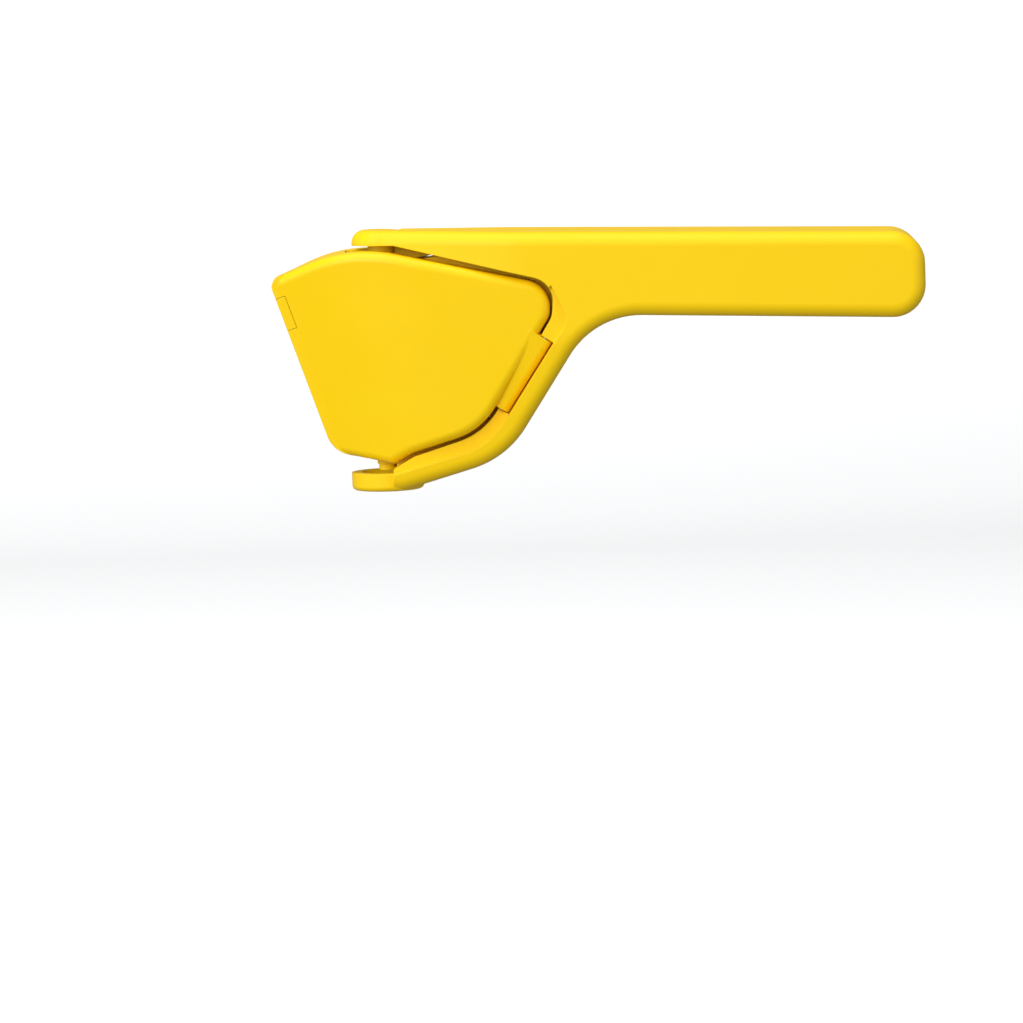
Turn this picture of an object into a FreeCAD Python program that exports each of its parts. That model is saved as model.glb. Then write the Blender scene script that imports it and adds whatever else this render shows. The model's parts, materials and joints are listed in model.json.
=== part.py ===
"""Fold-flat hand citrus press, modelled closed, spout down.

Two handles turn about an upright pivot over the spout. Each carries a slotted strainer and, on a
slanted hinge, a press plate; the two plates share a nose hinge. The three hinge lines meet in one
apex below the spout, so the linkage folds flat. +Z runs up the main pivot, +X towards the grips,
-Y is the front. The origin is the centre of the spout outlet's lower rim. Sizes in millimetres.
"""
import FreeCAD, Part
import math
import os
import re

import Sketcher
from FreeCAD import Vector

doc = FreeCAD.newDocument("CitrusPress")

FRONT = -1
REAR = 1

SIZES = {
    # overall thickness and the seam between the halves
    "half_depth": 18, "parting_gap": 0.3, "foot_inset": 5.4, "taper_top": 50, "taper_blend": 60,
    # handle outline: top line, grip, heel under the grip, lower bend
    "tongue_top": 87.9, "grip_end": 183, "grip_end_top": 82.6, "grip_end_height": 29.2,
    "grip_corner": 11, "heel_x": 71.5, "heel_z": 57.8, "heel_round": 28,
    "bend_x": 40.5, "bend_z": 10.1, "bend_round": 32, "root_x": 5.1, "root_round": 12, "edge_round": 4.5,
    # main pivot at the top of the head
    "lobe_radius": 9.8, "lobe_floor": 82.9, "lobe_round": 4.4, "barrel_radius": 4.4, "barrel_height": 6.6,
    "barrel_gap": 0.3, "lobe_gap": 0.6, "tongue_reach": 24, "tongue_width": 5.2, "tongue_taper": 42,
    "main_pin_radius": 1.6, "main_pin_foot": 8, "pin_clearance": 0.06,
    # opening in the handle and its front recess
    "opening_left": 2.1, "opening_foot": 7.3, "opening_gap": 0.8, "foot_gap": 0.6,
    "recess_margin": 5.2, "recess_depth": 6.5, "crescent_depth": 1.8, "opening_round": 8, "throat_round": 24,
    # strainer and the ledge that holds it
    "strainer_inner": 2.5, "strainer_wall": 2.5, "ledge_width": 1.6, "ledge_fit": 0.1,
    "slot_width": 1.8, "slot_pitch": 4.8, "slot_length": 27, "slot_count": 11, "slot_foot": 23,
    "slot_left": 8, "side_slot_left": 38, "side_slot_length": 13, "side_slot_foot": 48,
    "side_slot_count": 4, "post_radius": 3.4, "post_foot": 8.7, "post_gap": 0.3,
    "post_segment": 10.9, "stem_radius": 2.9, "stem_foot": 6.6, "stem_gap": 0.3,
    "strainer_left": 3.2,
    # press plate outline
    "tip_x": -38, "tip_z": 71.9, "tip_round": 3.5, "crest_x": -10.1, "crest_z": 83.5,
    "crest_round": 48, "shoulder_x": 57, "shoulder_z": 68.4, "shoulder_round": 9.5,
    "waist_x": 56.3, "waist_z": 58, "waist_round": 6, "throat_x": 32.2, "throat_z": 20.1,
    "belly_x": 9, "belly_z": 12.9, "belly_round": 12, "drip_x": 2.4, "drip_z": 9.2,
    "drip_round": 3, "chin_x": -18.2, "chin_z": 13.3, "chin_round": 10,
    # press plate section
    "plate_wall": 2.2, "face_wall": 2.6, "face_inset": 3.4, "nose_at_apex": 2.4, "face_lean": 2,
    "nose_face": 4.4, "nose_run": 47.4, "skirt_stop": 6, "skirt_stop_x": -12, "skirt_foot_x": -6.5, "plate_edge_round": 3,
    # hinge lines: every line runs from the apex through its named point
    "apex_drop": 33, "knuckle_x": 47, "knuckle_y": 12, "knuckle_z": 38.8,
    "knuckle_radius": 2.6, "knuckle_length": 28.3, "knuckle_gap": 0.4, "knuckle_web": 6,
    "lug_length": 4.2, "hinge_pin_radius": 1.2,
    "nose_x": 26, "nose_z": 44, "nose_radius": 2.6, "nose_top": 106, "nose_foot": 57,
    "saddle_length": 9, "saddle_gap": 0.6, "saddle_slack": 0.8, "nose_pin_radius": 1, "nose_clearance": 0.08,
    "clip_length": 11.5, "clip_reach": 1, "clip_depth": 1.6, "clip_gap": 0.1, "clip_top": 105,
    # spout
    "ring_radius": 12.2, "ring_wall": 1.8, "ring_height": 6, "ring_round": 1.6, "journal_wall": 1.5,
    "journal_clearance": 0.08, "ring_top_gap": 0.4, "shoulder_height": 4.2,
    # cored grip
    "grip_wall": 2.6, "core_start": 92, "rib_wall": 1.8, "core_cells": 5, "core_depth": 12,
    # channel in the lower arm
    "channel_depth": 6, "channel_width": 5.5,
}

sheet = doc.addObject("Spreadsheet::Sheet", "Sizes")
for row, (alias, number) in enumerate(SIZES.items(), start=1):
    sheet.set("A%d" % row, alias)
    sheet.set("B%d" % row, str(number))
    sheet.setAlias("B%d" % row, alias)
doc.recompute()

WORDS = re.compile(r"\b(" + "|".join(sorted(SIZES, key=len, reverse=True)) + r")\b")


def linked(text):
    """The expression with every size name pointing at its cell."""
    return WORDS.sub(r"Sizes.\1", str(text))


def number(text):
    """The value of an expression now."""
    result = sheet.evalExpression(linked(text))
    return float(getattr(result, "Value", result))


def tie(thing, place, text):
    """Bind one property of an object to an expression."""
    thing.setExpression(place, linked(text))


def origin_plane(body, role):
    return [f for f in body.Origin.OriginFeatures if f.Role == role][0]


def new_body(name):
    body = doc.addObject("PartDesign::Body", name)
    body.Label = name
    return body


def polygon(body, name, corners, role="XZ_Plane", lift="0"):
    """A closed polygon sketch; every corner is tied to the sheet."""
    sketch = body.newObject("Sketcher::SketchObject", name)
    sketch.AttachmentSupport = (origin_plane(body, role), [""])
    sketch.MapMode = "FlatFace"
    tie(sketch, "AttachmentOffset.Base.z", lift)
    places = [Vector(number(c[0]), number(c[1]), 0) for c in corners]
    count = len(places)
    for k in range(count):
        sketch.addGeometry(Part.LineSegment(places[k], places[(k + 1) % count]), False)
    for k in range(count):
        sketch.addConstraint(Sketcher.Constraint("Coincident", k, 2, (k + 1) % count, 1))
    for k, corner in enumerate(corners):
        for kind, value, text in (("DistanceX", places[k].x, corner[0]),
                                  ("DistanceY", places[k].y, corner[1])):
            index = sketch.addConstraint(Sketcher.Constraint(kind, -1, 1, k, 1, value))
            tie(sketch, "Constraints[%d]" % index, text)
    return sketch


def round_corners(body, corners, side):
    """Round the upright edges of a prism where a corner names a radius."""
    radii = {}
    for corner in corners:
        if len(corner) > 2 and corner[2]:
            radii.setdefault(corner[2], []).append((number(corner[0]), number(corner[1])))
    for count, (radius, places) in enumerate(radii.items()):
        doc.recompute()
        base = body.Tip
        names = []
        for index, edge in enumerate(base.Shape.Edges, start=1):
            ends = [v.Point for v in edge.Vertexes]
            if len(ends) < 2 or abs(ends[0].y - ends[1].y) < 0.5:
                continue
            for x, z in places:
                if all(math.hypot(p.x - x, p.z - z) < 0.01 for p in ends):
                    names.append("Edge%d" % index)
        fillet = body.newObject("PartDesign::Fillet", "%sRound%d" % (body.Name, count))
        fillet.Base = (base, names)
        tie(fillet, "Radius", radius)
    doc.recompute()


def prism(name, corners, start, end, side=FRONT):
    """A prism of an outline in the XZ plane, between two depths from the middle plane."""
    body = new_body(name)
    sign = "" if side == FRONT else "-"
    sketch = polygon(body, name + "Outline", corners, lift="%s(%s)" % (sign, start))
    pad = body.newObject("PartDesign::Pad", name + "Pad")
    pad.Profile = sketch
    pad.Reversed = side == REAR
    tie(pad, "Length", "(%s) - (%s)" % (end, start))
    body.Tip = pad
    round_corners(body, corners, side)
    return body


def column(name, corners, low, high, role="XY_Plane"):
    """A prism of a plan outline between two heights."""
    body = new_body(name)
    sketch = polygon(body, name + "Plan", corners, role, low)
    pad = body.newObject("PartDesign::Pad", name + "Pad")
    pad.Profile = sketch
    tie(pad, "Length", "(%s) - (%s)" % (high, low))
    body.Tip = pad
    return body


def cylinder(name, radius, low, high):
    """An upright cylinder on the main pivot."""
    solid = doc.addObject("Part::Cylinder", name)
    tie(solid, "Radius", radius)
    tie(solid, "Height", "(%s) - (%s)" % (high, low))
    tie(solid, "Placement.Base.z", low)
    return solid


KNUCKLE_RUN = "sqrt(knuckle_x^2 + knuckle_y^2 + (knuckle_z + apex_drop)^2)"
NOSE_RUN = "sqrt(nose_x^2 + (nose_z + apex_drop)^2)"
FACE_RUN = "sqrt(nose_x^2 + face_lean^2 + (nose_z + apex_drop)^2)"


def aim(thing, line, side, reach="0"):
    """Put a piece's own Z on a hinge line, at a distance from the apex."""
    if line == "face":
        along, across, up, run = "-nose_x", "-face_lean", "(nose_z + apex_drop)", FACE_RUN
    elif line == "nose":
        along, across, up, run = "-nose_x", "0", "(nose_z + apex_drop)", NOSE_RUN
    else:
        sign = "-" if side == FRONT else ""
        along, across, up, run = "knuckle_x", sign + "knuckle_y", "(knuckle_z + apex_drop)", KNUCKLE_RUN
    tie(thing, "Placement.Base.x", "%s * (%s) / %s" % (along, reach, run))
    tie(thing, "Placement.Base.y", "%s * (%s) / %s" % (across, reach, run))
    tie(thing, "Placement.Base.z", "%s * (%s) / %s - apex_drop" % (up, reach, run))
    tie(thing, "Placement.Rotation.Axis.x", "-(%s)" % across)
    tie(thing, "Placement.Rotation.Axis.y", along)
    tie(thing, "Placement.Rotation.Axis.z", "0")
    tie(thing, "Placement.Rotation.Angle", "acos(%s / %s)" % (up, run))


def hinge_cylinder(name, line, side, radius, low, high):
    """A cylinder on a slanted hinge line between two distances from the apex."""
    solid = doc.addObject("Part::Cylinder", name)
    tie(solid, "Radius", radius)
    tie(solid, "Height", "(%s) - (%s)" % (high, low))
    aim(solid, line, side, low)
    return solid


def fuse(name, solids):
    result = doc.addObject("Part::MultiFuse", name)
    result.Shapes = solids
    result.Refine = True
    return result


def cut(name, base, tools):
    """Base less its tools in turn, each checked to have removed material."""
    for count, tool in enumerate(tools, start=1):
        last = count == len(tools)
        result = doc.addObject("Part::Cut", name if last else "%sCut%d" % (name, count))
        result.Base = base
        result.Tool = tool
        result.Refine = last
        doc.recompute()
        if not 0 < result.Shape.Volume < base.Shape.Volume - 0.01:
            raise RuntimeError("%s: %s removed nothing" % (name, tool.Name))
        base = result
    return base


def common(name, base, tool):
    result = doc.addObject("Part::Common", name)
    result.Base = base
    result.Tool = tool
    return result


def sided(name, side):
    return ("Front" if side == FRONT else "Rear") + name


# ---- outlines, each corner tied to the sizes ----------------------------------------------------

TOP_LINE = "(tongue_top + (grip_end_top - tongue_top) * (%s) / grip_end)"
OPENING_TOP = ("(lobe_floor - (lobe_floor - shoulder_z - 1.4 * opening_gap)"
               " * ((%s) - barrel_radius) / (shoulder_x + opening_gap - barrel_radius))")
TONGUE_TOP = "(lobe_floor - barrel_gap)"
BARREL_FOOT = "(lobe_floor - barrel_gap - barrel_height)"
FOOT_DEPTH = "(half_depth - foot_inset)"
SEAM = "parting_gap / 2"
SHIELD = "(ring_height + ring_top_gap)"


def opening_edge(margin):
    """The opening's lower and right edge, a margin outside the press plate."""
    return [
        ("belly_x + 0.3 * (%s)" % margin, "belly_z - foot_gap - (%s)" % margin),
        ("throat_x + 0.64 * (foot_gap + %s)" % margin, "throat_z - 0.85 * (foot_gap + %s)" % margin,
         "throat_round"),
        ("waist_x + (%s)" % margin, "waist_z - 0.3 * (%s)" % margin, "opening_round"),
    ]


HANDLE = [
    ("0", "tongue_top"),
    ("grip_end", "grip_end_top", "grip_corner"),
    ("grip_end", "grip_end_top - grip_end_height", "grip_corner"),
    ("heel_x", "heel_z", "heel_round"),
    ("bend_x", "bend_z", "bend_round"),
    ("root_x", "0", "root_round"),
    ("opening_left", "0"),
    ("opening_left", "opening_foot"),
] + opening_edge("opening_gap") + [
    ("shoulder_x + opening_gap", "shoulder_z + 1.4 * opening_gap", "opening_round"),
    ("barrel_radius", "lobe_floor"),
    ("0", "lobe_floor"),
]

PLATE = [
    ("tip_x", "tip_z", "tip_round"),
    ("crest_x", "crest_z", "crest_round"),
    ("shoulder_x", "shoulder_z", "shoulder_round"),
    ("waist_x", "waist_z", "waist_round"),
    ("throat_x", "throat_z", "throat_round"),
    ("belly_x", "belly_z", "belly_round"),
    ("drip_x", "drip_z", "drip_round"),
    ("chin_x", "chin_z", "chin_round"),
]


def strainer_outline(margin):
    """The strainer's outline, a margin outside the opening it fills."""
    edge = opening_edge("opening_gap + %s" % margin)
    return [
        ("strainer_left", "opening_foot - (%s) + 1.5" % margin),
        edge[0], edge[1],
        ("waist_x + opening_gap + %s" % margin, "waist_z - 0.3 * (opening_gap + %s)" % margin,
         "opening_round"),
        ("shoulder_x + opening_gap + %s" % margin,
         "shoulder_z + 1.4 * opening_gap + %s" % margin, "opening_round"),
        ("tongue_reach", OPENING_TOP % "tongue_reach" + " + %s" % margin),
        ("strainer_left", BARREL_FOOT + " - post_gap - ledge_width + %s" % margin),
    ]


CHANNEL = [
    ("opening_left - 1", "opening_foot - 1.4"),
    ("belly_x + 2", "belly_z - channel_width"),
    ("throat_x + 0.6 * channel_width", "throat_z - 0.85 * channel_width", "throat_round"),
    ("waist_x + 0.6 * channel_width", "waist_z - 1.2 * channel_width", "opening_round"),
    ("belly_x + 10", "waist_z"),
    ("opening_left - 1", "throat_z"),
]

LOWER_RECESS = [
    ("opening_left - 1", "opening_foot - 2.2"),
    ("belly_x + 1.5", "belly_z - opening_gap - 0.8 * recess_margin"),
    ("throat_x + 0.35 * recess_margin", "throat_z - 1.13 * recess_margin", "throat_round"),
    ("throat_x + 1.8 * recess_margin", "throat_z + 0.95 * recess_margin"),
    ("throat_x + 0.5 * recess_margin", "throat_z + 1.6 * recess_margin"),
    ("belly_x", "belly_z + 4"),
    ("opening_left - 1", "belly_z"),
]

CRESCENT = [
    ("waist_x + 0.2 * recess_margin", "waist_z - 1.85 * recess_margin"),
    ("waist_x - 0.8 * recess_margin", "waist_z - 1.25 * recess_margin"),
    ("waist_x - 6", "waist_z + 3"),
    ("shoulder_x", "shoulder_z"),
    ("waist_x + 1.25 * recess_margin", "waist_z - 0.3 * recess_margin", "opening_round"),
]


def fillet_edges(body, name, radius, wanted):
    """Round every edge of the body that a test on its middle point and direction accepts."""
    doc.recompute()
    base = body.Tip
    names = []
    for index, edge in enumerate(base.Shape.Edges, start=1):
        span = edge.LastParameter - edge.FirstParameter
        spots = [edge.valueAt(edge.FirstParameter + span * part) for part in (0.1, 0.5, 0.9)]
        if wanted(spots):
            names.append("Edge%d" % index)
    fillet = body.newObject("PartDesign::Fillet", name)
    fillet.Base = (base, names)
    tie(fillet, "Radius", radius)
    doc.recompute()
    return fillet


def pocket(body, name, corners, role, lift, length, reverse=False):
    """Cut a polygon out of a body, checked to have removed material."""
    before = body.Tip.Shape.Volume
    sketch = polygon(body, name + "Outline", corners, role, lift)
    feature = body.newObject("PartDesign::Pocket", name)
    feature.Profile = sketch
    feature.Reversed = reverse
    tie(feature, "Length", length)
    doc.recompute()
    if body.Tip.Shape.Volume > before - 0.01:
        raise RuntimeError("%s removed nothing" % name)
    return feature


def face_depth(z):
    """Depth of a handle's outer face at a height."""
    if z >= number("taper_top"):
        return number("half_depth")
    return number(FOOT_DEPTH) + number("foot_inset") / number("taper_top") * z


def outer_depth(spot):
    """Depth of a handle's outer face at a place, with the narrowed tongue."""
    if spot.x < number("tongue_taper") and spot.z > number("waist_z"):
        share = spot.x / number("tongue_taper")
        return number("lobe_radius") + share * (number("half_depth") - number("lobe_radius"))
    return face_depth(spot.z)


def in_opening(spot):
    """True for a place on the opening's edge, where the press plate's outline is nearest."""
    ring = [(number(c[0]), number(c[1])) for c in strainer_outline("2")]
    ring = [(ring[0][0] - 4, ring[0][1])] + ring[1:-2] + [(ring[-1][0] - 9, number("lobe_floor") + 0.5)]
    inside = False
    for (x1, z1), (x2, z2) in zip(ring, ring[1:] + ring[:1]):
        if (z1 > spot.z) != (z2 > spot.z):
            if spot.x < x1 + (spot.z - z1) * (x2 - x1) / (z2 - z1):
                inside = not inside
    return inside


def outer_edge(spots):
    """True for the edge round a handle's outer face, away from the opening and the cut ends."""
    if any(in_opening(p) or abs(abs(p.y) - outer_depth(p)) > 0.25 for p in spots):
        return False
    for low, high in (("opening_left", 0.3), ("0", 0.3), ("tongue_taper", 8)):
        if all(abs(p.x - number(low)) < high for p in spots) and abs(spots[0].z - spots[2].z) > 1:
            return False
    return not all(abs(p.z - number("lobe_floor")) < 0.1 for p in spots)


def handle_blank(side):
    """The outer form of a handle: outline, lower taper, narrowed tongue and rounded edges."""
    body = prism(sided("HandleBlank", side), HANDLE, SEAM, "half_depth", side)
    out = "-" if side == FRONT else ""
    pocket(body, sided("FootTaper", side), [
        (out + FOOT_DEPTH, "-1"), (out + FOOT_DEPTH, "0"), (out + "half_depth", "taper_top"),
        (out + "(half_depth + 1)", "taper_top"), (out + "(half_depth + 1)", "-1"),
    ], "YZ_Plane", "-1", "grip_end", True)
    fillet_edges(body, sided("TaperBlend", side), "taper_blend", lambda spots: all(
        abs(p.z - number("taper_top")) < 0.01 for p in spots) and spots[0].distanceToPoint(spots[2]) > 5)
    pocket(body, sided("TongueTaper", side), [
        ("-1", out + "lobe_radius"), ("0", out + "lobe_radius"), ("tongue_taper", out + "half_depth"),
        ("tongue_taper", out + "(half_depth + 1)"), ("-1", out + "(half_depth + 1)"),
    ], "XY_Plane", "waist_z", "tongue_top", True)
    fillet_edges(body, sided("TongueBlend", side), "taper_blend", lambda spots: all(
        abs(p.x - number("tongue_taper")) < 0.01 and abs(abs(p.y) - number("half_depth")) < 0.01
        for p in spots))
    fillet_edges(body, sided("OuterRound", side), "edge_round", outer_edge)
    return body




def hinge_block(name, side, low, high, left, right, outer, inner):
    """A straight block beside a plate hinge line, in the hinge's own frame."""
    sign = "-" if side == FRONT else ""
    turn = "" if side == FRONT else "-"
    body = column(name, [
        ("-(%s)" % left, "%s(%s)" % (sign, outer)), (right, "%s(%s)" % (sign, outer)),
        (right, "%s(%s)" % (turn, inner)), ("-(%s)" % left, "%s(%s)" % (turn, inner)),
    ], low, high)
    aim(body, "knuckle", side)
    return body


KNUCKLE_LOW = "(%s - knuckle_length / 2)" % KNUCKLE_RUN
KNUCKLE_HIGH = "(%s + knuckle_length / 2)" % KNUCKLE_RUN
PIN_LOW = KNUCKLE_LOW + " - knuckle_gap - lug_length"
PIN_HIGH = KNUCKLE_HIGH + " + knuckle_gap + lug_length"


def knuckle_notch(side):
    """The room a plate's knuckle turns in."""
    low, high = KNUCKLE_LOW + " - knuckle_gap", KNUCKLE_HIGH + " + knuckle_gap"
    reach = "knuckle_radius + knuckle_gap"
    return [
        hinge_cylinder(sided("NotchBore", side), "knuckle", side, reach, low, high),
        hinge_block(sided("NotchFront", side), side, low, high, "knuckle_web + 3", reach, "12", "0"),
        hinge_block(sided("NotchWeb", side), side, low, high, "knuckle_web + 3", "0", "0", reach),
    ]


def grip_cores(side):
    """The cells cored out of a grip, between its ribs."""
    cells = []
    run = "(grip_end - grip_corner - core_start)"
    width = "(%s - (core_cells - 1) * rib_wall) / core_cells" % run
    drop = "(grip_end_height / 2 - grip_wall - rib_wall / 2)"
    for k in range(int(number("core_cells"))):
        left = "core_start + %d * (%s + rib_wall)" % (k, width)
        right = "%s + %s" % (left, width)
        for row, (top, foot) in enumerate((("grip_wall", "grip_wall + " + drop),
                                           ("grip_wall + rib_wall + " + drop,
                                            "grip_end_height - grip_wall"))):
            cells.append(prism(sided("Core%d%d" % (k, row), side), [
                (left, TOP_LINE % left + " - (%s)" % top),
                (right, TOP_LINE % right + " - (%s)" % top),
                (right, TOP_LINE % right + " - (%s)" % foot),
                (left, TOP_LINE % left + " - (%s)" % foot),
            ], "0", "half_depth - grip_wall", side))
    return cells


def spot_fillet(name, base, radius, wanted):
    """Round the edges of a solid whose middle point and neighbour faces pass a test."""
    doc.recompute()
    links = []
    for index, edge in enumerate(base.Shape.Edges, start=1):
        middle = edge.valueAt((edge.FirstParameter + edge.LastParameter) / 2)
        slopes = []
        for face in base.Shape.ancestorsOfType(edge, Part.Face):
            slopes.append(abs(face.normalAt(*face.Surface.parameter(middle)).y))
        if wanted(edge, middle, slopes):
            links.append((index, number(radius), number(radius)))
    fillet = doc.addObject("Part::Fillet", name)
    fillet.Base = base
    fillet.Edges = links
    doc.recompute()
    return fillet


def plate_rim(edge, middle, slopes):
    """True for the rim between a plate's face and its sides, except down its thin nose."""
    if abs(middle.y) < number("nose_face") + 1 or len(slopes) != 2:
        return False
    return min(slopes) < 0.1 and max(slopes) > 0.5


def level_rim(height, radius):
    """A test for a round edge near one height, with a given radius."""
    def wanted(edge, middle, slopes):
        near = math.hypot(middle.x, middle.y) > number(radius) - 0.5
        return near and abs(middle.z - number(height)) < 0.6 and edge.BoundBox.XLength > 1
    return wanted


def handle_frame():
    """The front handle's frame and grip, before its pivots are added."""
    ledge = "strainer_inner + strainer_wall + ledge_fit"
    return cut("HandleFrame", handle_blank(FRONT), [
        prism("Ledge", strainer_outline("(ledge_width + ledge_fit)"), "0", ledge),
        prism("Channel", CHANNEL, "0", "strainer_inner - ledge_fit"),
        prism("Recess", LOWER_RECESS, "half_depth - recess_depth", "half_depth + 1"),
        prism("Crescent", CRESCENT, "half_depth - crescent_depth", "half_depth + 1"),
        hinge_cylinder("HingeBore", "knuckle", FRONT, "hinge_pin_radius", PIN_LOW, PIN_HIGH),
    ] + knuckle_notch(FRONT) + grip_cores(FRONT))


def front_handle(frame):
    """Front handle: frame, pivot lobe and the outer spout ring."""
    lobe = cylinder("Lobe", "lobe_radius", "lobe_floor", "tongue_top + 1")
    above = prism("AboveLobe", [
        ("-2 * lobe_radius", TOP_LINE % "-2 * lobe_radius"), ("2 * lobe_radius", TOP_LINE % "2 * lobe_radius"),
        ("2 * lobe_radius", "tongue_top + 5"), ("-2 * lobe_radius", "tongue_top + 5"),
    ], "-2 * lobe_radius", "2 * lobe_radius")
    lobe = spot_fillet("LobeRounded", cut("LobeSolid", lobe, [above]), "lobe_round",
                       level_rim("tongue_top", "lobe_radius"))
    ring = spot_fillet("RingRounded", cylinder("OuterRing", "ring_radius", "0", "ring_height"),
                       "ring_round", level_rim("0", "ring_radius"))
    whole = fuse("FrontHandleSolid", [frame, lobe, ring])
    return cut("front_handle", whole, [
        cylinder("OuterRingBore", "ring_radius - ring_wall", "-1", SHIELD),
        cylinder("LobeBore", "main_pin_radius", "lobe_floor - 1", "tongue_top - 1.6"),
    ])


def rear_handle(frame):
    """Rear handle: mirrored frame, pivot barrel under the lobe and the journal inside the ring."""
    clear = cut("rear_handle_blank", mirrored("RearFrame", frame), [
        cylinder("LobeRoom", "lobe_radius + lobe_gap", "waist_z", "tongue_top + 2"),
        cylinder("RingRoom", "ring_radius + ring_top_gap", "-1", SHIELD),
    ])
    tongue = prism("Tongue", [
        ("0", BARREL_FOOT), ("0", TONGUE_TOP), ("tongue_reach", TONGUE_TOP),
        ("tongue_reach", OPENING_TOP % "tongue_reach" + " + ledge_width + ledge_fit + post_gap"),
    ], SEAM, "tongue_width", REAR)
    barrel = cylinder("Barrel", "barrel_radius", BARREL_FOOT, TONGUE_TOP)
    journal = cylinder("Journal", "ring_radius - ring_wall - journal_clearance", "0", "ring_height")
    riser = cylinder("Riser", "ring_radius - ring_wall - journal_clearance", "ring_height - 1",
                     SHIELD + " + 0.6")
    quarter = prism("RiserQuarter", [
        ("opening_left", "ring_height - 1"), ("ring_radius", "ring_height - 1"),
        ("ring_radius", "opening_foot"), ("opening_left", "opening_foot"),
    ], SEAM, "ring_radius", REAR)
    whole = fuse("RearHandleSolid", [clear, tongue, barrel, journal, common("RiserPart", riser, quarter)])
    return cut("rear_handle", whole, [
        cylinder("JournalBore", "ring_radius - ring_wall - journal_clearance - journal_wall",
                 "-1", SHIELD),
        cylinder("BarrelBore", "main_pin_radius + pin_clearance", "waist_z", "tongue_top + 2"),
        cylinder("StemRoom", "stem_radius + stem_gap", "stem_foot - stem_gap", "post_foot"),
    ])


def strainer(side):
    """A slotted strainer with its share of the post's knuckles round the main pivot."""
    label = "front_strainer" if side == FRONT else "rear_strainer"
    inner, outer = "strainer_inner", "strainer_inner + strainer_wall"
    wall = prism(sided("StrainerWall", side), strainer_outline("ledge_width"), inner, outer, side)
    slots = []
    for prefix, count in (("slot", "slot_count"), ("side_slot", "side_slot_count")):
        for k in range(int(number(count))):
            foot = "%s_foot + %d * slot_pitch" % (prefix, k)
            left, right = "%s_left" % prefix, "%s_left + %s_length" % (prefix, prefix)
            slots.append(prism(sided("%s%d" % (prefix.title().replace("_", ""), k), side), [
                (left, foot), (right, foot), (right, foot + " + slot_width"),
                (left, foot + " + slot_width"),
            ], "strainer_inner - 1", outer + " + 1", side))
    knuckles, rooms = [], []
    low, own = "post_foot", side == FRONT
    for k in range(6):
        high = "post_foot + %d * (post_segment + post_gap) + post_segment" % k
        low = "post_foot + %d * (post_segment + post_gap)" % k
        if (k % 2 == 0) == own:
            knuckles.append(cylinder(sided("Post%d" % k, side), "post_radius", low, high))
            web = prism(sided("PostWeb%d" % k, side), [
                ("0", low), ("strainer_left + 1", low), ("strainer_left + 1", high), ("0", high),
            ], "strainer_inner - 0.5", "post_radius", side)
            knuckles.append(web)
    if side == FRONT:
        knuckles.append(cylinder("Stem", "stem_radius", "stem_foot", "post_foot + 1"))
    bore_radius = "main_pin_radius" if side == FRONT else "main_pin_radius + pin_clearance"
    bore = cylinder(sided("PostBore", side), bore_radius, "0", "tongue_top")
    whole = fuse(sided("StrainerSolid", side), [wall] + knuckles)
    return cut(label, whole, slots + [bore])


def face_tool(name, inset):
    """Everything outside the front plate's curved face, set in by a wall."""
    face, nose = "(half_depth - face_inset - (%s))" % inset, "(nose_at_apex - (%s))" % inset
    corners = [
        ("nose_run", face), ("6 * half_depth", face), ("6 * half_depth", "3 * half_depth"),
        ("-half_depth", "3 * half_depth"), ("-half_depth", nose), ("0", nose),
    ]
    sketch = doc.addObject("Sketcher::SketchObject", name + "Curve")
    places = [Vector(number(c[0]), -number(c[1]), 0) for c in corners]
    run = number("nose_run")
    rise = number(face) - number(nose)
    radius = (run * run + rise * rise) / (2 * rise)
    turn = math.asin(run / radius) / 2
    middle = Vector(run - radius * math.sin(turn), places[0].y + radius * (1 - math.cos(turn)), 0)
    for k in range(5):
        sketch.addGeometry(Part.LineSegment(places[k], places[k + 1]), False)
    sketch.addGeometry(Part.Arc(places[5], middle, places[0]), False)
    for k in range(4):
        sketch.addConstraint(Sketcher.Constraint("Coincident", k, 2, k + 1, 1))
    tail, head = (1, 2) if sketch.Geometry[5].StartPoint.distanceToPoint(places[5]) < 0.01 else (2, 1)
    sketch.addConstraint(Sketcher.Constraint("Coincident", 4, 2, 5, tail))
    sketch.addConstraint(Sketcher.Constraint("Coincident", 5, head, 0, 1))
    index = sketch.addConstraint(Sketcher.Constraint("Radius", 5, radius))
    tie(sketch, "Constraints[%d]" % index,
        "(nose_run^2 + (%s - %s)^2) / (2 * (%s - %s))" % (face, nose, face, nose))
    for k, corner in enumerate(corners):
        spot = (k, 1) if k < 5 else (4, 2)
        for kind, value, text in (("DistanceX", places[k].x, corner[0]),
                                  ("DistanceY", places[k].y, "-" + corner[1])):
            index = sketch.addConstraint(Sketcher.Constraint(kind, -1, 1, spot[0], spot[1], value))
            tie(sketch, "Constraints[%d]" % index, text)
    aim(sketch, "face", FRONT)
    solid = doc.addObject("Part::Extrusion", name)
    solid.Base = sketch
    solid.DirMode = "Normal"
    solid.Solid = True
    tie(solid, "LengthFwd", "nose_top + 2 * half_depth")
    return solid


def mirrored(name, source):
    """The same piece on the other side of the middle plane."""
    result = doc.addObject("Part::Mirroring", name)
    result.Source = source
    result.Normal = Vector(0, 1, 0)
    return result


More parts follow.
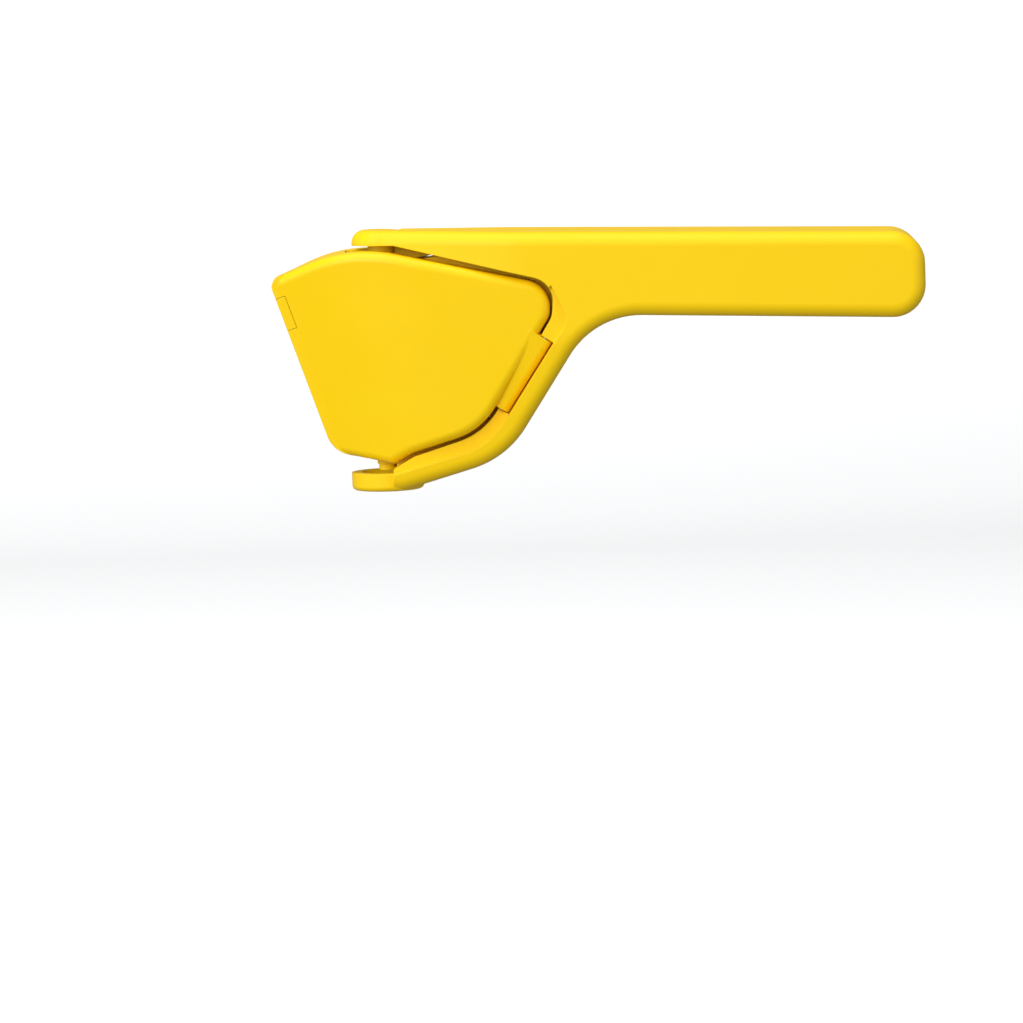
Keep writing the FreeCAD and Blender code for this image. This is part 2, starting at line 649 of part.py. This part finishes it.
def front_dish():
    """The front plate's dish: a curved face with skirts, open towards the strainer."""
    square = [corner[:2] if corner[0] in ("tip_x", "chin_x") else corner for corner in PLATE]
    form = cut("PlateForm", prism("PlateBlock", square, SEAM, "half_depth + 3"), [face_tool("PlateFace", "0")])
    rounded = spot_fillet("PlateRounded", form, "plate_edge_round", plate_rim)
    shell = common("PlateShell", rounded, prism("PlateTrim", PLATE, "0", "half_depth + 4"))
    core = doc.addObject("Part::Offset", "PlateCore")
    core.Source = prism("CoreBlock", PLATE, "-6", "half_depth + 6")
    tie(core, "Value", "-plate_wall")
    core.Join = 2
    hollow = cut("Hollow", core, [face_tool("HollowFace", "face_wall")])
    window = prism("SkirtWindow", [
        ("skirt_foot_x", "-2"), ("skirt_foot_x", "chin_z + 2"), ("skirt_stop_x", "waist_z"),
        ("skirt_stop_x", "tongue_top"), ("shoulder_x + 4", "tongue_top"), ("shoulder_x + 4", "-2"),
    ], "-1", "skirt_stop")
    return cut("FrontDish", shell, [hollow, window])


def plate_hinge(side):
    """A plate's knuckle with its web, and the bore through them."""
    knuckle = hinge_cylinder(sided("PlateKnuckle", side), "knuckle", side, "knuckle_radius",
                             KNUCKLE_LOW, KNUCKLE_HIGH)
    web = hinge_block(sided("KnuckleWeb", side), side, KNUCKLE_LOW, KNUCKLE_HIGH, "knuckle_web", "0",
                      "knuckle_radius", "knuckle_radius")
    bore = hinge_cylinder(sided("KnuckleBore", side), "knuckle", side,
                          "hinge_pin_radius + pin_clearance", PIN_LOW, PIN_HIGH)
    return [knuckle, web], [bore]


def saddles():
    """Spans of the nose hinge, from the apex, that belong to the rear plate."""
    return [("nose_foot + 0.18 * (nose_top - nose_foot)",
             "nose_foot + 0.18 * (nose_top - nose_foot) + saddle_length"),
            ("nose_foot + 0.58 * (nose_top - nose_foot)",
             "nose_foot + 0.58 * (nose_top - nose_foot) + saddle_length")]


def clip_block(name, margin):
    """The room of the nose pin's clip on the front plate, set in by a margin."""
    body = column(name, [
        ("-4 * nose_radius", "-3 * nose_face"), ("clip_reach - (%s)" % margin, "-3 * nose_face"),
        ("clip_reach - (%s)" % margin, "-clip_depth - (%s)" % margin),
        ("-4 * nose_radius", "-clip_depth - (%s)" % margin),
    ], "clip_top - clip_length + (%s)" % margin, "clip_top - (%s)" % margin)
    aim(body, "nose", FRONT)
    return body


def front_press_plate(dish):
    """Front plate, and the clip let into its nose: dish, plate knuckle and nose rail."""
    solids, cuts = plate_hinge(FRONT)
    rail = hinge_cylinder("NoseRail", "nose", FRONT, "nose_radius", "nose_foot", "nose_top")
    rooms = [hinge_cylinder("SaddleRoom%d" % k, "nose", FRONT, "nose_radius + saddle_gap",
                            "%s - saddle_slack" % low, "%s + saddle_slack" % high)
             for k, (low, high) in enumerate(saddles())]
    bore = hinge_cylinder("NoseBore", "nose", FRONT, "nose_pin_radius", "nose_foot - 1", "nose_top + 1")
    whole = cut("FrontPlateSolid", fuse("FrontPlateJoined", [dish, rail] + solids),
                rooms + [bore] + cuts)
    plate = cut("front_press_plate", whole, [clip_block("ClipRoom", "0")])
    clip = common("nose_pin_clip", whole, clip_block("ClipBlock", "clip_gap"))
    return plate, clip


def rear_press_plate(dish):
    """Rear plate: the mirrored dish, plate knuckle and open saddles over the nose pin."""
    solids, cuts = plate_hinge(REAR)
    spans = saddles()
    ends = ["nose_foot - 20"] + [end for span in spans for end in span] + ["nose_top + 10"]
    rooms = []
    for k in range(0, len(ends), 2):
        rooms.append(hinge_cylinder("RailRoom%d" % k, "nose", REAR, "nose_radius + saddle_gap",
                                    ends[k], ends[k + 1]))
    clear = cut("RearDishClear", mirrored("RearDish", dish), rooms)
    rests = [hinge_cylinder("Saddle%d" % k, "nose", REAR, "nose_radius", low, high)
             for k, (low, high) in enumerate(spans)]
    half = prism("RearHalf", [
        ("tip_x - 6", "-2"), ("tip_x - 6", "tongue_top"), ("belly_x", "tongue_top"), ("belly_x", "-2"),
    ], SEAM, "nose_radius + 1", REAR)
    rest = common("SaddleHalves", fuse("SaddleRounds", rests), half)
    bore = hinge_cylinder("SaddleBore", "nose", REAR, "nose_pin_radius + nose_clearance",
                          "nose_foot - 1", "nose_top + 1")
    whole = fuse("RearPlateSolid", [clear, rest] + solids)
    return cut("rear_press_plate", whole, [bore] + cuts)


dish = front_dish()
frame = handle_frame()
front_plate, nose_clip = front_press_plate(dish)
parts = {
    "front_handle": front_handle(frame),
    "rear_handle": rear_handle(frame),
    "front_strainer": strainer(FRONT),
    "rear_strainer": strainer(REAR),
    "front_press_plate": front_plate,
    "nose_pin_clip": nose_clip,
    "rear_press_plate": rear_press_plate(dish),
    "main_pivot_pin": cylinder("MainPin", "main_pin_radius", "main_pin_foot", "tongue_top - 1.6"),
    "front_plate_pin": hinge_cylinder("FrontPlatePin", "knuckle", FRONT, "hinge_pin_radius", PIN_LOW, PIN_HIGH),
    "rear_plate_pin": hinge_cylinder("RearPlatePin", "knuckle", REAR, "hinge_pin_radius", PIN_LOW, PIN_HIGH),
    "nose_pin": hinge_cylinder("NosePin", "nose", FRONT, "nose_pin_radius", "nose_foot + 0.5", "nose_top - 0.5"),
}
doc.recompute()

for item in doc.Objects:
    if "Invalid" in item.State or "Error" in item.State:
        raise RuntimeError("%s failed: %s" % (item.Name, item.State))
os.makedirs("parts", exist_ok=True)
for name, solid in parts.items():
    solid.Label = name
    shape = solid.Shape
    if shape.isNull() or not shape.isValid() or not shape.Solids:
        raise RuntimeError("%s has no valid solid" % name)
    shape.exportStep("parts/%s.step" % name)
    print(name, len(shape.Solids), round(shape.Volume), [round(v, 1) for v in (
        shape.BoundBox.XMin, shape.BoundBox.XMax, shape.BoundBox.YMin, shape.BoundBox.YMax,
        shape.BoundBox.ZMin, shape.BoundBox.ZMax)])
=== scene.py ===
"""Looks of a fold-flat hand citrus press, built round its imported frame.

Everything is in metres in the frame's own axes: +Z up the main pivot, +X towards the grips, -Y the front.
"""
import json
import logging
import math
from dataclasses import dataclass, field
from enum import Enum
from typing import Any, Dict, List, Tuple, Union

import bmesh
import bpy
from mathutils import Matrix, Vector

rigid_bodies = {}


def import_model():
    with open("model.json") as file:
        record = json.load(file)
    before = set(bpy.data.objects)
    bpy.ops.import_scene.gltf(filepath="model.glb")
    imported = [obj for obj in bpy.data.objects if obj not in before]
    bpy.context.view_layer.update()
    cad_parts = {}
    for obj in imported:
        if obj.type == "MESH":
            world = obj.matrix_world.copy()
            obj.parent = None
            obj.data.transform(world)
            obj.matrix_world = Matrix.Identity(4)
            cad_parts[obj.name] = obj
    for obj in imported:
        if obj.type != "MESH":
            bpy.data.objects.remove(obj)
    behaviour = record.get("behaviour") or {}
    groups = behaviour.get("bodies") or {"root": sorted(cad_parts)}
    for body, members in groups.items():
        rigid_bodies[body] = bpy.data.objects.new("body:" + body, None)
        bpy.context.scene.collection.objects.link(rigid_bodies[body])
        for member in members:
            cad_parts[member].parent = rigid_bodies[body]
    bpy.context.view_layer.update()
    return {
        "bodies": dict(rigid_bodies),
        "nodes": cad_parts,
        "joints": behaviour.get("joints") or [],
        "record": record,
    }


LOG = logging.getLogger("citrus_press")
NOISE_ROUGHNESS = 0.55
BEVEL_SAMPLES = 6
EDGE_GAIN = 4.0

Colour = Tuple[float, float, float]
Spot = Tuple[float, float, float]
Stops = List[Tuple[float, float]]
Number = Union[int, float]


class Wetness(Enum):
    """How much juice a surface meets, as the roughness it takes away."""

    DRY = 0.0
    RINSED = 0.04
    WET = 0.12


class Wire:
    """An output socket that takes part in Python arithmetic."""

    def __init__(self, bench: "Bench", socket: bpy.types.NodeSocket) -> None:
        """Keep the socket and the bench it belongs to.

        Args:
            bench: the tree that new Math nodes go into.
            socket: the output socket.
        """
        self.bench = bench
        self.socket = socket

    def _maths(self, operation: str, *values: Union["Wire", Number], clamp: bool = False) -> "Wire":
        """Add one Math node.

        Args:
            operation: the Math node's operation.
            values: what goes into its sockets, in order.
            clamp: whether the result is kept between 0 and 1.

        Returns:
            The node's result.
        """
        inputs = {place: value for place, value in enumerate(values)}
        made = self.bench.node("ShaderNodeMath", {"operation": operation, "use_clamp": clamp}, inputs)
        return Wire(self.bench, made.outputs[0])

    def __add__(self, other: Union["Wire", Number]) -> "Wire":
        """Sum of the two."""
        return self._maths("ADD", self, other)

    __radd__ = __add__

    def __sub__(self, other: Union["Wire", Number]) -> "Wire":
        """This less the other."""
        return self._maths("SUBTRACT", self, other)

    def __rsub__(self, other: Number) -> "Wire":
        """The other less this."""
        return self._maths("SUBTRACT", other, self)

    def __mul__(self, other: Union["Wire", Number]) -> "Wire":
        """Product of the two."""
        return self._maths("MULTIPLY", self, other)

    __rmul__ = __mul__

    def clamped(self) -> "Wire":
        """This, kept between 0 and 1."""
        return self._maths("ADD", self, 0.0, clamp=True)


class Bench:
    """One material's node tree and the one way to add to it."""

    def __init__(self, name: str) -> None:
        """Start an empty material.

        Args:
            name: the material's name.
        """
        self.material = bpy.data.materials.new(name)
        self.material.use_nodes = True
        self.tree = self.material.node_tree
        self.tree.nodes.clear()

    def node(self, kind: str, settings: Dict[str, Any], inputs: Dict[Any, Any]) -> bpy.types.Node:
        """Add a node.

        Args:
            kind: the node's type.
            settings: its own settings, made first; "stops" fills a ramp.
            inputs: a value or a link for each socket, by name or by place.

        Returns:
            The new node.
        """
        made = self.tree.nodes.new(kind)
        for key, value in settings.items():
            if key == "stops":
                self._stops(made, value)
            else:
                setattr(made, key, value)
        for key, value in inputs.items():
            if isinstance(value, Wire):
                self.tree.links.new(value.socket, made.inputs[key])
            elif isinstance(value, bpy.types.NodeSocket):
                self.tree.links.new(value, made.inputs[key])
            else:
                made.inputs[key].default_value = value
        return made

    @staticmethod
    def _stops(ramp: bpy.types.Node, stops: Stops) -> None:
        """Fill a ramp with grey stops.

        Args:
            ramp: the ramp node, which starts with two stops.
            stops: place and grey of each stop, at least two.
        """
        elements = ramp.color_ramp.elements
        for place, (spot, grey) in enumerate(stops):
            stop = elements[place] if place < len(elements) else elements.new(spot)
            stop.position = spot
            stop.color = (grey, grey, grey, 1.0)

    def place(self) -> bpy.types.NodeSocket:
        """The piece's own coordinates, which ride with it."""
        return self.node("ShaderNodeTexCoord", {}, {}).outputs["Object"]

    def noise(self, size: float, detail: float, stretch: Spot = (1.0, 1.0, 1.0)) -> Wire:
        """Noise over the piece.

        Args:
            size: the size of its patches, in metres.
            detail: how many finer layers it has.
            stretch: scale of the pattern along each axis.

        Returns:
            A value about 0.5.
        """
        mapped = self.node("ShaderNodeMapping", {}, {"Vector": self.place(), "Scale": stretch})
        made = self.node("ShaderNodeTexNoise", {}, {
            "Vector": mapped.outputs[0], "Scale": 1.0 / size, "Detail": detail, "Roughness": NOISE_ROUGHNESS})
        return Wire(self, made.outputs[0])

    def ramp(self, value: Wire, stops: Stops) -> Wire:
        """A value through a grey ramp.

        Args:
            value: what to map.
            stops: place and grey of each stop.

        Returns:
            The mapped value.
        """
        made = self.node("ShaderNodeValToRGB", {"stops": stops}, {0: value})
        return Wire(self, made.outputs[0])

    def tint(self, share: Wire, first: Any, second: Any) -> bpy.types.NodeSocket:
        """One colour going over into another.

        Args:
            share: how much of the second colour there is.
            first: a colour or a colour socket.
            second: a colour or a colour socket.

        Returns:
            The mixed colour.
        """
        colours = [c if isinstance(c, bpy.types.NodeSocket) else (*c, 1.0) for c in (first, second)]
        made = self.node("ShaderNodeMix", {"data_type": "RGBA"}, {0: share, 6: colours[0], 7: colours[1]})
        return made.outputs[2]

    def soft_normal(self, radius: float) -> Tuple[bpy.types.NodeSocket, Wire]:
        """Surface direction rounded over edges, and a mask that is high on those edges.

        Args:
            radius: the edge's radius in metres.

        Returns:
            The rounded normal and the edge mask.
        """
        rounded = self.node("ShaderNodeBevel", {"samples": BEVEL_SAMPLES}, {"Radius": radius}).outputs[0]
        plain = self.node("ShaderNodeNewGeometry", {}, {}).outputs["Normal"]
        same = self.node("ShaderNodeVectorMath", {"operation": "DOT_PRODUCT"}, {0: rounded, 1: plain})
        mask = ((1.0 - Wire(self, same.outputs["Value"])) * EDGE_GAIN).clamped()
        return rounded, mask

    def bump(self, height: Wire, strength: float, distance: float,
             normal: bpy.types.NodeSocket) -> bpy.types.NodeSocket:
        """Relief on top of a surface direction.

        Args:
            height: the relief's height, about 0 to 1.
            strength: how much of it shows.
            distance: its full depth in metres.
            normal: the surface direction it starts from.

        Returns:
            The new surface direction.
        """
        made = self.node("ShaderNodeBump", {}, {
            "Strength": strength, "Distance": distance, "Height": height, "Normal": normal})
        return made.outputs[0]

    def finish(self, constants: Dict[str, Any], varying: Dict[str, Any]) -> bpy.types.Material:
        """Close the tree with the surface shader.

        Args:
            constants: numbers and colours set on the shader's own sockets.
            varying: links for the sockets that change over the surface.

        Returns:
            The finished material.
        """
        shader = self.node("ShaderNodeBsdfPrincipled", {}, {**constants, **varying})
        self.node("ShaderNodeOutputMaterial", {}, {"Surface": shader.outputs[0]})
        return self.material


class Finish:
    """A recipe that makes one material."""

    def make(self) -> bpy.types.Material:
        """The finish as a material."""
        raise NotImplementedError


@dataclass(frozen=True)
class MouldedNylon(Finish):
    """Satin injection-moulded nylon with a fine spark-eroded grain.

    The "size" fields are patch sizes and the "depth" fields relief depths, all in metres. The "rough" fields
    say how far each map moves the roughness.
    """

    name: str
    colour: Colour = (0.94, 0.62, 0.0)
    deep: Colour = (0.91, 0.57, 0.0)
    rubbed: Colour = (0.96, 0.66, 0.01)
    refraction: float = 1.53
    shine: float = 0.22
    roughness: float = 0.42
    wetness: Wetness = Wetness.DRY
    edge: float = 0.00045
    edge_share: float = 0.45
    edge_rough: float = 0.06
    flow_size: float = 0.035
    flow_stretch: Spot = (0.6, 1.0, 1.6)
    flow_share: float = 0.7
    flow_depth: float = 0.00012
    flow_strength: float = 0.25
    mottle_size: float = 0.006
    mottle_share: float = 0.3
    mottle_rough: float = 0.06
    tint_start: float = 0.25
    grain_size: float = 0.00045
    grain_depth: float = 0.00003
    grain_strength: float = 0.35
    grain_rough: float = 0.10
    scuff_size: float = 0.0018
    scuff_stretch: Spot = (0.25, 1.0, 3.0)
    scuff_limits: Tuple[float, float] = (0.60, 0.72)
    scuff_height: float = 0.3
    scuff_rough: float = 0.08
    handled_size: float = 0.022
    handled_limits: Tuple[float, float] = (0.42, 0.62)
    handled_rough: float = 0.05

    def make(self) -> bpy.types.Material:
        """The finish as a material."""
        bench = Bench(self.name)
        flow = bench.noise(self.flow_size, 2.0, self.flow_stretch)
        mottle = bench.noise(self.mottle_size, 3.0)
        grain = bench.noise(self.grain_size, 2.0)
        scuffs = self._patches(
            bench, bench.noise(self.scuff_size, 4.0, self.scuff_stretch), self.scuff_limits)
        handled = self._patches(bench, bench.noise(self.handled_size, 2.0), self.handled_limits)
        rounded, edges = bench.soft_normal(self.edge)
        share = (flow * self.flow_share + mottle * self.mottle_share - self.tint_start).clamped()
        worn = bench.tint(edges * self.edge_share, bench.tint(share, self.colour, self.deep), self.rubbed)
        rough = (self.roughness - self.wetness.value + grain * self.grain_rough + mottle * self.mottle_rough
                 - handled * self.handled_rough - edges * self.edge_rough
                 + scuffs * self.scuff_rough).clamped()
        sink = bench.bump(flow, self.flow_strength, self.flow_depth, rounded)
        surface = bench.bump(grain - scuffs * self.scuff_height, self.grain_strength, self.grain_depth, sink)
        return bench.finish(
            {"IOR": self.refraction, "Specular IOR Level": self.shine},
            {"Base Color": worn, "Roughness": rough, "Normal": surface})

    @staticmethod
    def _patches(bench: Bench, noise: Wire, limits: Tuple[float, float]) -> Wire:
        """Patches where the noise is high.

        Args:
            bench: the material's tree.
            noise: the noise to cut.
            limits: where the patches begin and where they are full.

        Returns:
            A mask from 0 to 1.
        """
        return bench.ramp(noise, [(limits[0], 0.0), (limits[1], 1.0)])


@dataclass(frozen=True)
class GroundSteel(Finish):
    """Stainless pin, centreless ground, with fine rings round it. Sizes and depths are in metres."""

    name: str
    colour: Colour = (0.60, 0.60, 0.61)
    stained: Colour = (0.42, 0.40, 0.36)
    stain_share: float = 0.35
    roughness: float = 0.24
    edge: float = 0.0002
    edge_rough: float = 0.05
    ring_size: float = 0.00025
    ring_stretch: Spot = (0.2, 0.2, 3.0)
    ring_strength: float = 0.2
    ring_depth: float = 0.00001
    ring_rough: float = 0.14
    haze_size: float = 0.004
    haze_rough: float = 0.08

    def make(self) -> bpy.types.Material:
        """The finish as a material."""
        bench = Bench(self.name)
        rings = bench.noise(self.ring_size, 2.0, self.ring_stretch)
        haze = bench.noise(self.haze_size, 3.0)
        rounded, edges = bench.soft_normal(self.edge)
        colour = bench.tint(haze * self.stain_share, self.colour, self.stained)
        rough = (self.roughness + rings * self.ring_rough + haze * self.haze_rough
                 - edges * self.edge_rough).clamped()
        surface = bench.bump(rings, self.ring_strength, self.ring_depth, rounded)
        return bench.finish({"Metallic": 1.0}, {"Base Color": colour, "Roughness": rough, "Normal": surface})


@dataclass(frozen=True)
class StudioPaper(Finish):
    """Matt pale paper of the studio sweep, lit a little from within so that it stays white."""

    name: str
    colour: Colour = (0.93, 0.93, 0.93)
    shade: Colour = (0.90, 0.90, 0.905)
    shade_share: float = 0.2
    cloud_size: float = 0.4
    roughness: float = 0.9
    glow: float = 0.3

    def make(self) -> bpy.types.Material:
        """The finish as a material."""
        bench = Bench(self.name)
        cloud = bench.noise(self.cloud_size, 2.0)
        colour = bench.tint(cloud * self.shade_share, self.colour, self.shade)
        return bench.finish(
            {"Roughness": self.roughness, "Emission Color": (1.0, 1.0, 1.0, 1.0),
             "Emission Strength": self.glow},
            {"Base Color": colour})


@dataclass
class SubAssembly:
    """CAD nodes that share one finish and are shown as they are."""

    nodes: Tuple[str, ...]
    finish: Finish
    pieces: List[bpy.types.Object] = field(default_factory=list)

    def build(self, frame: Dict[str, Any]) -> None:
        """Find the nodes in the frame.

        Args:
            frame: what the frame's loader returned.
        """
        self.pieces = [frame["nodes"][name] for name in self.nodes]

    def dress(self) -> None:
        """Give every piece the finish."""
        material = self.finish.make()
        for piece in self.pieces:
            if not piece.material_slots:
                piece.data.materials.append(material)
            for slot in piece.material_slots:
                slot.material = material
            LOG.info("%s dressed in %s", piece.name, material.name)


@dataclass
class Handles(SubAssembly):
    """The two handles: grip, arm, knuckle, post, tongue and skirt in one moulding each."""

    nodes: Tuple[str, ...] = ("front_handle", "rear_handle")
    finish: Finish = MouldedNylon("handle_nylon")


@dataclass
class PressPlates(SubAssembly):
    """The two dished plates that press the fruit, and the clip that closes the nose pin's room."""

    nodes: Tuple[str, ...] = ("front_press_plate", "rear_press_plate", "nose_pin_clip")
    finish: Finish = MouldedNylon("plate_nylon", roughness=0.38, wetness=Wetness.RINSED)


@dataclass
class Strainers(SubAssembly):
    """The slotted ribs behind the plates, always wet in use."""

    nodes: Tuple[str, ...] = ("front_strainer", "rear_strainer")
    finish: Finish = MouldedNylon("strainer_nylon", roughness=0.40, wetness=Wetness.WET)


@dataclass
class Pins(SubAssembly):
    """The stainless pins on the four pivot lines."""

    nodes: Tuple[str, ...] = ("main_pivot_pin", "front_plate_pin", "rear_plate_pin", "nose_pin")
    finish: Finish = GroundSteel("pin_steel")


@dataclass(frozen=True)
class SoftLight:
    """A square area light: where it hangs, its side in metres and its power in watts."""

    name: str
    spot: Spot
    size: float
    power: float

    def build(self, aim: Vector) -> None:
        """Hang the light and turn it towards the press.

        Args:
            aim: the point that it lights.
        """
        data = bpy.data.lights.new(self.name, "AREA")
        data.shape = "SQUARE"
        data.size = self.size
        data.energy = self.power
        lamp = bpy.data.objects.new(self.name, data)
        lamp.location = self.spot
        lamp.rotation_mode = "QUATERNION"
        lamp.rotation_quaternion = (aim - Vector(self.spot)).to_track_quat("-Z", "Y")
        bpy.context.scene.collection.objects.link(lamp)


@dataclass
class Sweep:
    """Floor that curves up into a backdrop. Sizes are in metres."""

    floor_z: float = -0.135
    half_width: float = 3.2
    height: float = 3.2
    front: float = 3.52
    back: float = 1.1
    bend: float = 0.5
    bend_steps: int = 16

    def build(self) -> None:
        """Make the sweep's mesh and stage it: it lights nothing and isn't mirrored in the press."""
        mesh = bmesh.new()
        profile = self._profile()
        sides = (-self.half_width, self.half_width)
        left, right = [[mesh.verts.new((x, y, z)) for y, z in profile] for x in sides]
        for place in range(len(profile) - 1):
            face = mesh.faces.new((left[place], left[place + 1], right[place + 1], right[place]))
            face.smooth = True
        mesh.normal_update()
        data = bpy.data.meshes.new("studio_sweep")
        mesh.to_mesh(data)
        mesh.free()
        sweep = bpy.data.objects.new("studio_sweep", data)
        data.materials.append(StudioPaper("studio_paper").make())
        bpy.context.scene.collection.objects.link(sweep)
        sweep.visible_diffuse = False
        sweep.visible_glossy = False

    def _profile(self) -> List[Tuple[float, float]]:
        """The side outline, from the front edge of the floor to the top of the backdrop."""
        profile = [(-self.front, self.floor_z), (self.back, self.floor_z)]
        for step in range(1, self.bend_steps + 1):
            turn = math.pi / 2 * step / self.bend_steps
            profile.append((self.back + self.bend * math.sin(turn),
                            self.floor_z + self.bend * (1 - math.cos(turn))))
        profile.append((self.back + self.bend, self.floor_z + self.height))
        return profile


@dataclass
class Studio:
    """Pale sweep, soft lights and the camera. Lengths are in metres and angles in degrees."""

    lights: Tuple[SoftLight, ...] = (
        SoftLight("overhead", (-0.1, -0.35, 1.5), 1.4, 18.0),
        SoftLight("front_bank", (-0.9, -2.1, 0.9), 1.4, 38.0),
        SoftLight("left_bank", (-1.7, -0.5, 0.35), 1.0, 8.0),
        SoftLight("right_fill", (1.8, -1.4, 0.0), 1.2, 9.0),
    )
    surround: Colour = (0.95, 0.97, 1.0)
    surround_strength: float = 0.3
    aim: Spot = (0.0414, 0.0, -0.0091)
    elevation: float = 5.6
    roll: float = -1.8
    view_angle: float = 8.0
    view_width: float = 0.3468
    sensor: float = 36.0
    far: float = 20.0

    def build(self) -> None:
        """Make the sweep, the lights, the surround and the camera."""
        Sweep().build()
        for light in self.lights:
            light.build(Vector(self.aim))
        self._world()
        self._camera()

    def _world(self) -> None:
        """An even pale surround."""
        world = bpy.data.worlds.new("surround")
        world.use_nodes = True
        background = world.node_tree.nodes["Background"]
        background.inputs["Color"].default_value = (*self.surround, 1.0)
        background.inputs["Strength"].default_value = self.surround_strength
        bpy.context.scene.world = world

    def _camera(self) -> None:
        """A long lens at the front, a little above the press."""
        data = bpy.data.cameras.new("view")
        half = math.radians(self.view_angle / 2)
        data.sensor_width = self.sensor
        data.lens = self.sensor / 2 / math.tan(half)
        data.clip_end = self.far
        away = self.view_width / 2 / math.tan(half)
        rise = math.radians(self.elevation)
        back = Vector((0.0, -math.cos(rise), math.sin(rise)))
        turned = (-back).to_track_quat("-Z", "Y").to_matrix() @ Matrix.Rotation(
            math.radians(self.roll), 3, "Z")
        camera = bpy.data.objects.new("view", data)
        camera.matrix_world = Matrix.Translation(Vector(self.aim) + back * away) @ turned.to_4x4()
        bpy.context.scene.collection.objects.link(camera)
        bpy.context.scene.camera = camera


def main() -> None:
    """Load the frame, build and dress each sub-assembly, and set the studio."""
    logging.basicConfig(level=logging.INFO, format="%(message)s")
    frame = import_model()
    bpy.context.scene.view_settings.view_transform = "Standard"
    for sub_assembly in (Handles(), PressPlates(), Strainers(), Pins()):
        sub_assembly.build(frame)
        sub_assembly.dress()
    Studio().build()


if __name__ == "__main__":
    main()
